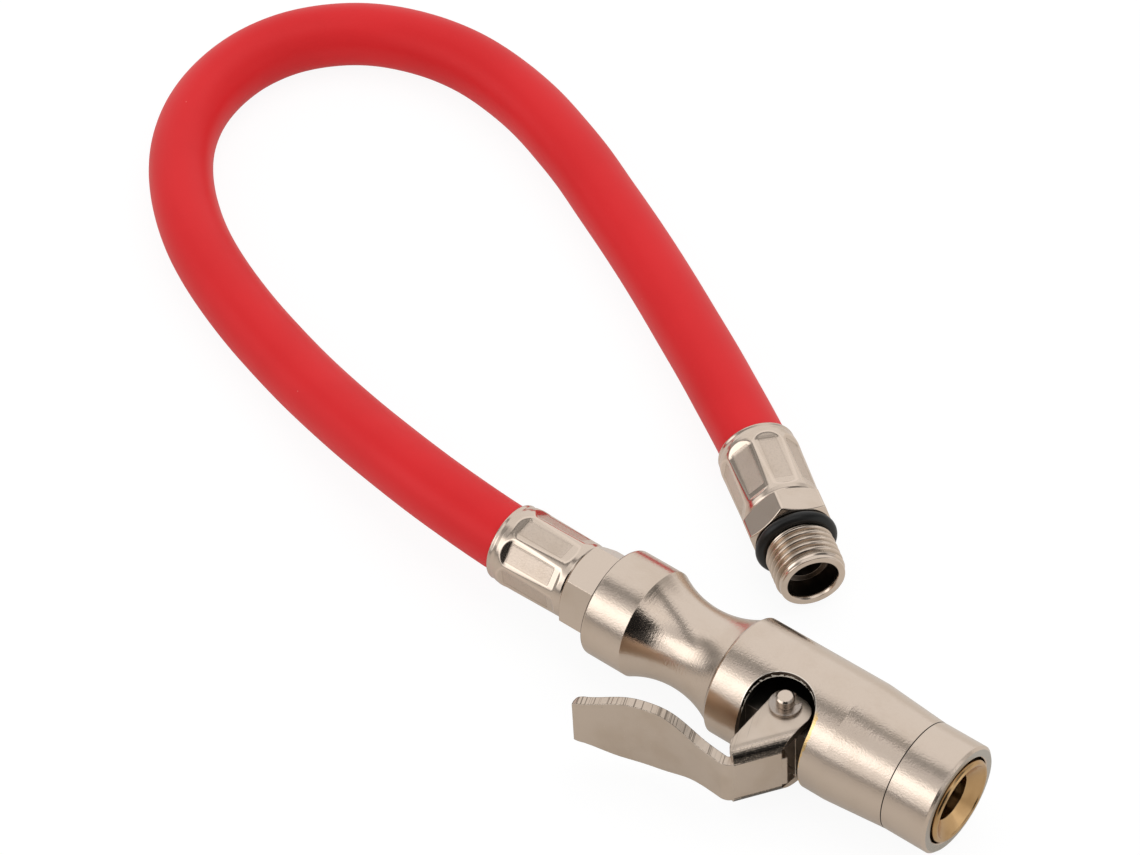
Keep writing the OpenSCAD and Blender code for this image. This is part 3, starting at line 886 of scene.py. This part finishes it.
@dataclass
class Studio:
    """Camera, soft light and pale floor.

    Attributes:
        camera_at: place of the camera, in millimetres.
        turn: heading of the camera about the object, in degrees.
        tilt: how far it looks down, in degrees.
        roll: its turn about its own axis, in degrees.
        lens: focal length over a 36 mm sensor, in millimetres.
        floor_z: height of the floor, in millimetres.
        ambient: the surround's light on what is not polished.
        aim: what the lamps point at, in metres.
        flags: dark cards in the surround: direction from the object, the angles in degrees
            within which each is full and past which it is gone, and its depth.
    """

    camera_at: tuple[float, float, float] = (213.0, -338.2, 532.5)
    turn: float = 40.88
    tilt: float = 47.69
    roll: float = -3.42
    lens: float = 121.6
    floor_z: float = -11.52
    ambient: float = 0.68
    aim: tuple[float, float, float] = (-0.09, 0.02, 0.0)
    flags: tuple[tuple[tuple[float, float, float], float, float, float], ...] = (
        ((0.35, -0.66, 0.67), 14.0, 22.0, 0.97),
        ((0.61, -0.46, 0.65), 12.0, 19.0, 0.96),
        ((0.32, -0.9, 0.28), 15.0, 24.0, 0.96),
        ((0.68, -0.7, 0.22), 13.0, 24.0, 0.96),
        ((0.88, -0.42, 0.15), 13.0, 24.0, 0.95),
        ((0.66, 0.3, 0.69), 12.0, 26.0, 0.8),
        ((0.84, 0.1, 0.53), 10.0, 26.0, 0.6),
        ((0.52, 0.8, 0.3), 12.0, 34.0, 0.5),
        ((-0.965, -0.17, 0.21), 9.0, 19.0, 0.62),
        ((-0.86, -0.09, 0.5), 6.0, 16.0, 0.55),
        ((-0.73, -0.1, 0.67), 5.0, 14.0, 0.5),
        ((-0.27, -0.385, 0.883), 8.0, 20.0, 0.28),
        ((0.18, -0.62, 0.765), 3.0, 10.0, 0.5),
        ((0.12, -0.97, 0.2), 4.0, 11.0, 0.35),
    )

    def camera(self) -> None:
        """Places the camera."""
        a, e, r = (math.radians(v) for v in (self.turn, self.tilt, self.roll))
        back = Vector((math.sin(a) * math.cos(e), -math.cos(a) * math.cos(e), math.sin(e)))
        right = (-back).cross(Vector((0, 0, 1))).normalized()
        up = right.cross(-back)
        side = math.cos(r) * right + math.sin(r) * up
        head = -math.sin(r) * right + math.cos(r) * up
        data = bpy.data.cameras.new("camera")
        data.lens, data.sensor_width = self.lens, 36.0
        data.clip_start, data.clip_end = 0.01, 50.0
        camera = bpy.data.objects.new("camera", data)
        turn = Matrix((side, head, back)).transposed().to_4x4()
        camera.matrix_world = Matrix.Translation(Vector(self.camera_at) * MM) @ turn
        bpy.context.scene.collection.objects.link(camera)
        bpy.context.scene.camera = camera

    def world(self) -> None:
        """A white surround; polished metal sees its soft boxes and its dark gaps."""
        world = bpy.data.worlds.new("studio")
        world.use_nodes = True
        bpy.context.scene.world = world
        b = Bench(world.node_tree)
        way = b.term("ShaderNodeTexCoord", output="Generated")
        seen, glossy = b.rays()

        def lobe(middle: tuple[float, ...], inner: float, outer: float) -> Term:
            """A soft round patch of the surround, 1 within inner degrees and 0 past outer."""
            near, far = (math.cos(math.radians(v)) for v in (inner, outer))
            return b.dot(way, tuple(Vector(middle).normalized())).ease(far, near)

        _, y, z = b.axes(way)
        seam = abs(b.dot(way, (0.666, -0.721, 0.19))).ease(0.16, 0.05) * z.ease(0.55, 0.7)
        skirt = abs(z - 0.03).ease(0.15, 0.05) * y.ease(0.1, -0.3)
        boxes = lobe((-0.56, -0.67, 0.48), 9.0, 22.0).most(lobe((-0.26, -0.76, 0.6), 6.0, 15.0))
        boxes = boxes * 0.75 + lobe((0.84, 0.5, 0.2), 6.0, 20.0) * 0.3
        light = 1.05 - y.ease(-0.1, 0.3) * 0.12 + boxes
        light = light * (1 - seam * 0.74) * (1 - skirt * 0.68)
        for middle, inner, outer, depth in self.flags:
            light = light * (1 - lobe(middle, inner, outer) * depth)
        strength = seen + (1 - seen) * (glossy * light + (1 - glossy) * self.ambient)
        back = b.term("ShaderNodeBackground", None, {"Color": WHITE, "Strength": strength})
        b.node("ShaderNodeOutputWorld", None, {"Surface": back})

    def floor(self) -> None:
        """A white sheet that keeps a faint shadow; in reflections it carries painted shade."""
        half = 3.0
        corners = np.array([(-half, -half, 0), (half, -half, 0), (half, half, 0), (-half, half, 0)])
        sheet = mesh_piece("floor", corners + (0, 0, self.floor_z * MM), [(0, 1, 2, 3)])
        material, b = new_bench("white_sheet")
        seen, glossy = b.rays()
        place = b.place()
        _, y, _ = b.axes(place)
        away = b.term("ShaderNodeVectorMath", {"operation": "LENGTH"}, {0: place}, "Value")
        # seen in reflections the sheet glows darker in front of the object than behind it, and near
        # black far off in front: painted shade
        far = away.ease(0.16, 0.42) * y.ease(0.05, -0.1)
        lit = b.diffuse(b.mix((0.86, 0.86, 0.86), (0.88, 0.88, 0.88), b.noise(place, 900.0)))
        white = b.both(b.diffuse((0.11, 0.11, 0.11)), b.glow(WHITE, 0.915))
        reflected_floor_shade = b.layers(
            b.mix((0.21, 0.2, 0.188), (0.29, 0.278, 0.262), y.ease(-0.09, -0.03)),
            ((0.4, 0.39, 0.375), y.ease(-0.01, 0.05)),
            ((0.02, 0.018, 0.015), far),
        )
        mirrored = b.both(b.diffuse((0.40, 0.385, 0.365)), b.glow(reflected_floor_shade, 1.0))
        b.surface(b.either(b.either(lit, mirrored, glossy), white, seen))
        sheet.data.materials.append(material)

    def lamp(self, name: str, place: Sequence[float], size: float, watts: float) -> None:
        """Adds one soft lamp aimed at the object.

        Args:
            name: the lamp's name.
            place: where it hangs, in metres.
            size: width of its square face, in metres.
            watts: its power.
        """
        data = bpy.data.lights.new(name, "AREA")
        data.size, data.energy = size, watts
        lamp = bpy.data.objects.new(name, data)
        lamp.location = place
        way = Vector(self.aim) - Vector(place)
        lamp.rotation_mode = "QUATERNION"
        lamp.rotation_quaternion = way.to_track_quat("-Z", "Y")
        lamp.visible_glossy = False
        bpy.context.scene.collection.objects.link(lamp)

    def build(self) -> None:
        """Sets up everything but the object."""
        self.camera()
        self.world()
        self.floor()
        self.lamp("overhead", (0.05, 0.5, 1.5), 1.4, 7.0)
        self.lamp("front_left", (-0.9, -1.1, 0.8), 0.9, 2.0)
        bpy.context.scene.view_settings.view_transform = "Standard"


@dataclass
class Ferrule:
    """Crimped ferrule, drawn back from its front face at x = 0.

    Attributes:
        name: the piece's name.
        node: the CAD node that it stands for.
        seat: where its own frame lies.
        roll: angle of its first flat, in degrees.
        flat_r: distance of the flats from the axis.
        wall_r: radius inside, round the hose.
        hole_r: radius of the hole in its front.
        profile: (x, radius) points of the outside before it was crimped.
        imprint_deep: depth of the dies' pressed imprints.
    """

    name: str
    node: str
    seat: Matrix
    roll: float
    length: float = 17.0
    flats: int = 8
    flat_r: float = 7.15
    wall_r: float = 6.53
    hole_r: float = 4.15
    imprint_deep: float = 0.09
    profile: tuple[tuple[float, float], ...] = (
        (-16.75, 7.5), (-16.2, 7.38), (-15.4, 7.62), (-14.4, 7.75), (-1.3, 7.46), (-0.45, 7.33),
        (-0.12, 7.12), (0.0, 6.85),
    )

    def skin(self, x: float, angle: np.ndarray) -> tuple[np.ndarray, ...]:
        """The outside at one place along the ferrule.

        Args:
            x: place along it.
            angle: angles round it.

        Returns:
            Radii, and the masks of the ridges, the pressed imprints and the imprints' outlines.
        """
        xs, rs = zip(*self.profile, strict=True)
        pitch = 2 * math.pi / self.flats
        off = (angle - math.radians(self.roll) + pitch / 2) % pitch - pitch / 2
        scoop = 0.75 * ramp(-x, 12.6, 15.3) + 0.5 * ramp(x, -2.3, -0.9)
        plane = (self.flat_r + scoop) / np.cos(off)
        radius, ridge = softmin(plane, np.interp(x, xs, rs), 0.14)
        across = np.abs(radius * np.sin(off))
        inside = ramp(across, 1.86, 1.68) * ramp(min(x + 13.3, -3.3 - x), -0.06, 0.12)
        # outline of each imprint, which the finish darkens as painted shade
        line = 3.0 * inside * (1 - inside)
        return radius - self.imprint_deep * inside, ridge, inside, line

    def build(self) -> bpy.types.Object:
        """Builds, seats and dresses the ferrule."""
        rings = Rings(240)
        for x in np.linspace(-0.02, -self.length + 0.28, 172):
            radius, ridge, inside, line = self.skin(x, rings.angle)
            rings.add(x, radius, edge=ridge, imprint=inside, valley=line)
        back = -self.length
        rings.trace([
            (back + 0.08, 7.42), (back, 7.2), (back, self.wall_r, 0.1), (-1.1, self.wall_r, 0.1),
            (-1.1, self.hole_r), (0.0, self.hole_r, 0.05), (0.0, 6.75),
        ])
        piece = rings.build(self.name, self.seat)
        dress(piece, CrimpedNickel(name=f"{self.name}_nickel"))
        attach(piece, Body.HOUSING.value)
        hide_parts(self.node)
        report(piece)
        return piece


@dataclass
class InletFitting:
    """Male inlet: counterbored thread, undercut for the O-ring, hexagon and barbed tail.

    It is drawn back from its open end at x = 0.

    Attributes:
        seat: where its own frame lies.
        hex_roll: angle of the hexagon, in degrees.
        bore_r: radius of the counterbore, which is bore_deep deep.
        mid_r: radius of the narrower bore behind it, which ends mid_deep from the open end.
        air_r: radius of the air bore.
        barb_r: radius of the tail behind the hexagon, which is tail_len long.
    """

    seat: Matrix
    thread_r: float = 6.58
    thread_depth: float = 0.66
    thread_len: float = 8.5
    pitch: float = 1.337
    neck_r: float = 5.5
    neck_len: float = 2.4
    across_flats: float = 15.0
    hex_len: float = 5.6
    hex_roll: float = 45.0
    bore_r: float = 4.58
    bore_deep: float = 4.5
    mid_r: float = 3.3
    mid_deep: float = 10.0
    air_r: float = 2.0
    barb_r: float = 3.1
    tail_len: float = 14.7
    barbs: int = 3

    @property
    def hex_back(self) -> float:
        """Distance from the open end to the hexagon's rear face."""
        return self.thread_len + self.neck_len + self.hex_len

    def thread(self, x: float, angle: np.ndarray) -> tuple[np.ndarray, np.ndarray, np.ndarray]:
        """Radii, crest mask and valley mask of the right-hand thread at one place."""
        phase = (x / self.pitch - angle / (2 * math.pi)) % 1.0
        rise = np.abs(phase - 0.5) * 2.0
        flank = np.clip((rise - 0.14) / 0.72, 0.0, 1.0)
        height = 0.45 * flank + 0.55 * (0.5 - 0.5 * np.cos(math.pi * flank))
        fade = ramp(-x, self.thread_len + 0.1, self.thread_len - 0.9) * ramp(-x, 0.5, 1.7)
        radius = self.thread_r - self.thread_depth * (1.0 - height * fade - 0.35 * (1 - fade))
        lead = self.thread_r - 0.5 + 0.9 * max(0.0, -x - 0.02)
        radius, worn = softmin(radius, lead, 0.12)
        return radius, np.maximum(height**3, worn) * 0.8, (1.0 - height) * fade

    def hexagon(self, x: float, angle: np.ndarray) -> tuple[np.ndarray, np.ndarray]:
        """Radii and edge mask of the hexagon with its corners turned down."""
        off = (angle - math.radians(self.hex_roll)) % (math.pi / 3) - math.pi / 6
        corner = self.across_flats / math.sqrt(3)
        plane = self.across_flats / 2 / np.cos(off)
        depth = min(x + self.hex_back, -(self.thread_len + self.neck_len) - x)
        cone = corner - 1.26 + 1.8 * max(0.0, depth)
        radius, crease = softmin(plane, cone, 0.1)
        radius, corners = softmin(radius, corner - 0.1, 0.12)
        return radius, np.maximum(crease, corners)

    def build(self) -> bpy.types.Object:
        """Builds, seats and dresses the fitting."""
        rings = Rings(264)
        neck_at, hex_at = -self.thread_len, -self.thread_len - self.neck_len
        tail = -self.hex_back
        for x, radius in ((tail - self.tail_len, self.air_r), (-self.mid_deep, self.air_r),
                          (-self.mid_deep, self.mid_r), (-self.bore_deep - 0.02, self.mid_r)):
            rings.add(x, radius, shade=1.0)
        rings.trace([(-self.bore_deep, self.mid_r + 0.05), (-self.bore_deep, self.bore_r - 0.05)])
        for x in (-self.bore_deep + 0.02, -self.bore_deep + 0.1, -2.4, -0.75):
            rings.add(x, self.bore_r, shade=0.95)
        rings.trace([
            (-0.6, self.bore_r, 0.1), (-0.03, self.bore_r + 0.35, 0.1),
            (0.0, self.bore_r + 0.6, 0.1), (0.0, self.thread_r - 0.62),
        ])
        for x in np.linspace(-0.03, neck_at + 0.02, 112):
            radius, crest, valley = self.thread(x, rings.angle)
            # crests get the finish's painted highlight, roots its painted shade
            rings.add(x, radius, edge=crest, valley=valley)
        rings.trace([(neck_at - 0.02, 5.75), (neck_at - 0.05, self.neck_r, 0.05),
                     (hex_at + 0.02, self.neck_r, 0.05), (hex_at, 7.2)])
        for x in np.linspace(hex_at - 0.02, tail + 0.02, 70):
            radius, crease = self.hexagon(x, rings.angle)
            rings.add(x, radius, edge=crease)
        step = tail - 1.1
        rings.trace([(tail, 7.2), (tail, 4.12, 0.05), (step, 4.12), (step, self.barb_r)])
        for k in range(self.barbs):
            root = tail - 4 * k
            rings.trace([(root - 3, self.barb_r), (root - 3.02, 3.23), (root - 6, 2.8)])
        end = tail - self.tail_len
        rings.trace([(end, 2.7), (end, self.air_r + 0.05)])
        piece = rings.build("inlet_threaded", self.seat)
        dress(piece, CrimpedNickel(name="inlet_nickel"))
        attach(piece, Body.HOUSING.value)
        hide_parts("inlet_fitting")
        report(piece)
        return piece


@dataclass
class WhipHose:
    """The red hose in the loop that it lies in, with its inlet end's pieces.

    Attributes:
        inlet_at: the inlet's open end.
        inlet_yaw: heading of the inlet, in degrees.
        inlet_crimp_roll: angle of the inlet ferrule's first flat, in degrees.
        route: the middle line's chosen points, which the CAD solid has too.
        line: the smooth middle line, in metres.
        sides: points to a ring.
    """

    radius: float = 6.5
    bore: float = 3.27
    inlet_at: tuple[float, float, float] = (-47.2, 27.0, -3.1)
    inlet_yaw: float = -35.5
    inlet_crimp_roll: float = 37.5
    route: tuple[tuple[float, float, float], ...] = (
        (-79.7, 0, 0), (-95.5, 0, 0), (-109, 1, -0.1), (-119, 2.3, -0.5), (-129, 4.2, -1.4),
        (-138, 6.3, -2.6), (-148, 8.9, -3.8), (-157, 11.4, -4.6), (-167, 14.4, -5),
        (-176, 17.3, -5), (-186, 21.2, -5), (-195, 25.5, -5), (-203.2, 30.6, -5),
        (-211.3, 37.2, -5), (-218, 44.8, -5), (-222.8, 53.6, -5), (-225.1, 63, -5),
        (-224.8, 73, -5), (-221.4, 82.3, -5), (-215, 90, -5), (-207, 95.3, -5), (-197, 98.5, -5),
        (-187, 99.4, -5), (-177, 98.3, -5), (-167, 95.9, -5), (-158, 92.6, -5), (-149, 88.8, -5),
        (-140, 84.3, -5), (-131, 79.8, -5), (-122, 75.1, -5), (-113, 70.1, -4.9),
        (-105, 65.4, -4.6), (-96, 60, -4), (-88, 55, -3.5),
    )
    line: np.ndarray = field(init=False)
    sides: int = 64

    def __post_init__(self) -> None:
        """Works out the smooth middle line, in metres."""
        yaw = math.radians(self.inlet_yaw)
        way = np.array([math.cos(yaw), math.sin(yaw), 0.0])
        inlet = np.array(self.inlet_at)
        back = InletFitting(Matrix()).hex_back
        ends = [inlet - (back + Ferrule.length) * way, inlet - (back + 1.2) * way]
        line = np.concatenate([np.array(self.route, float), ends])
        for _ in range(4):
            middle = (9 * (line[1:-2] + line[2:-1]) - line[:-3] - line[3:]) / 16
            first, last = (line[0] + line[1]) / 2, (line[-2] + line[-1]) / 2
            halves = np.concatenate([[first], middle, [last]])
            finer = np.empty((2 * len(line) - 1, 3))
            finer[::2], finer[1::2] = line, halves
            line = finer
        self.line = line[::2] * MM

    def build(self, ends: Sequence[bpy.types.Object]) -> bpy.types.Object:
        """Args:
            ends: the pieces that lie on its far end; not used.

        Returns:
            The hose.
        """
        first = units(np.cross([0.0, 0.0, 1.0], np.gradient(self.line, axis=0)))
        outer, inner = (
            tube_rings(self.line, r * MM, self.sides, first) for r in (self.radius, self.bore)
        )
        run = np.cumsum(np.linalg.norm(np.diff(self.line, axis=0, prepend=self.line[:1]), axis=1))
        points = np.concatenate([outer, inner[::-1]])
        faces = wrapped(len(points), self.sides)
        piece = mesh_piece("whip_hose", points.reshape(-1, 3), faces.tolist())
        self.lay_map(piece, np.concatenate([run, run[::-1]]))
        dress(piece, HoseRubber())
        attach(piece, Body.HOUSING.value)
        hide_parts("hose")
        log.info("hose length %.1f mm", run[-1] / MM)
        report(piece)
        return piece

    def lay_map(self, piece: bpy.types.Object, run: np.ndarray) -> None:
        """Gives the hose a map of distance along it, in tenths of a metre, and share round it."""
        layer = piece.data.uv_layers.new(name="hose")
        index = np.empty(len(piece.data.loops), np.int32)
        piece.data.loops.foreach_get("vertex_index", index)
        row, column = index // self.sides, index % self.sides
        turn = np.abs(column / self.sides - 0.5) * 2.0
        flat = np.stack([run[row] * 10.0, turn], 1).astype(np.float32)
        layer.data.foreach_set("uv", flat.ravel())


@dataclass
class ReturnSpring:
    """Round-wire compression spring round the slider's tube.

    Attributes:
        wire: radius of the wire.
        coil: radius of the coil's middle line.
        start: rear end of the middle line, from the chuck's front face.
        end: its front end.
        travel: how much shorter the slider makes it; not used.
        count: rings of points along the wire.
        sides: points to a ring.
    """

    wire: float = 0.55
    coil: float = 7.8
    start: float = -23.3
    end: float = -15.6
    turns: float = 4.5
    travel: float = 2.0
    count: int = 240
    sides: int = 14

    def build(self) -> bpy.types.Object:
        """Builds the spring, at one fixed length."""
        count, sides = self.count, self.sides
        t = np.linspace(0.0, 1.0, count)
        angle = 2 * math.pi * self.turns * t
        out = np.stack([np.zeros(count), np.cos(angle), np.sin(angle)], 1)
        line = self.coil * out
        line[:, 0] = self.start + (self.end - self.start) * t
        skin = tube_rings(line, self.wire, sides, out)
        points = np.concatenate([line[:1], skin.reshape(-1, 3), line[-1:]])
        tip = len(points) - 1
        faces: list[Sequence[int]] = []
        for j in range(sides):
            k = (j + 1) % sides
            faces.append((0, 1 + k, 1 + j))
            faces.append((tip, tip - sides + j, tip - sides + k))
            for row in range(1, tip - sides, sides):
                a, c = row + j, row + k
                faces.append((a, c, c + sides, a + sides))
        piece = mesh_piece("return_coil", (points + (FACE_X, 0, 0)) * MM, faces)
        dress(piece, PlainSteel(name="spring_wire", colour=(0.42, 0.4, 0.37), roughness=0.25))
        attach(piece, Body.HOUSING.value)
        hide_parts("return_spring")
        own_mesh(piece)
        report(piece)
        return piece


@dataclass
class Chuck:
    """The chuck's turned, pressed and moulded pieces, whose solids come from the CAD.

    Attributes:
        collar_back: the collar's joint with the sleeve, measured from the chuck's front face.
        grip_front: the sleeve's joint with the grip, measured likewise.
        grip_back: the grip's joint with the hexagon's piece, likewise.
        crimp_front: front face of the ferrule on the chuck's end of the hose, likewise.
        crimp_roll: angle of that ferrule's first flat, in degrees.
        slot: X, Y and radius of the lever's slot at its round end, in metres.
    """

    collar_back: float = 9.2
    grip_front: float = 46.65
    grip_back: float = 74.5
    crimp_front: float = 81.6
    crimp_roll: float = 4.0
    slot: tuple[float, float, float] = (-0.0295, -0.0085, 0.00675)
    brass: tuple[str, ...] = ("mouth_bush", "core_tube", "seal_cup", "valve_depressor")
    steel: tuple[str, ...] = ("jaw_1", "jaw_2", "jaw_3", "spring_seat")
    rubber: tuple[str, ...] = ("core_oring", "valve_seal", "inlet_oring")

    def finishes(self) -> dict[str, Finish]:
        """The finish of every CAD node that stays, by its name."""
        joint, back, front = (
            (FACE_X - v) * MM for v in (self.collar_back, self.grip_back, self.grip_front)
        )
        dull, dark = (0.46, 0.395, 0.345), (0.13, 0.115, 0.1)
        return {
            "sleeve": TurnedNickel("sleeve_nickel", joints=(joint,), slot=self.slot),
            "nose_collar": TurnedNickel("collar_nickel", joints=(joint,), bare_front=True),
            "rear_body": TurnedNickel("rear_nickel", joints=(back, front)),
            "pin_clips": TurnedNickel("clip_nickel", dull, roughness=0.24, edge=0.15e-3),
            "lever_pin": TurnedNickel("pin_nickel", edge=0.25e-3),
            "lever": PressedNickel(),
            "hose_stem": CrimpedNickel("stem_nickel", rounded=True),
            # the slider, seen in the hollow under the slot, is painted near black: painted shade
            "clamp_slider": PlainSteel("clamp_slider_steel", dark),
            **{name: TurnedBrass(f"{name}_brass") for name in self.brass},
            **{name: PlainSteel(f"{name}_steel") for name in self.steel},
            **{name: SealRubber(f"{name}_rubber") for name in self.rubber},
        }

    def dress(self) -> None:
        """Gives every CAD node that stays its finish."""
        for name, finish in self.finishes().items():
            dress(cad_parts[name], finish)
            report(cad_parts[name])


def main() -> None:
    """Builds the part's pieces in order."""
    Studio().build()
    hose = WhipHose()
    inlet = seat_at(*hose.inlet_at, hose.inlet_yaw)
    fitting = InletFitting(inlet)
    ferrule = Ferrule(
        "inlet_crimp", "inlet_ferrule", inlet @ seat_at(-fitting.hex_back), hose.inlet_crimp_roll
    )
    ends = [fitting.build(), ferrule.build(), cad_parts["inlet_oring"]]
    hose.build(ends)
    chuck = Chuck()
    crimp = seat_at(FACE_X - chuck.crimp_front)
    Ferrule("chuck_crimp", "chuck_ferrule", crimp, chuck.crimp_roll).build()
    ReturnSpring().build()
    chuck.dress()


if __name__ == "__main__":
    logging.basicConfig(level=logging.INFO, format="%(name)s %(message)s")
    main()
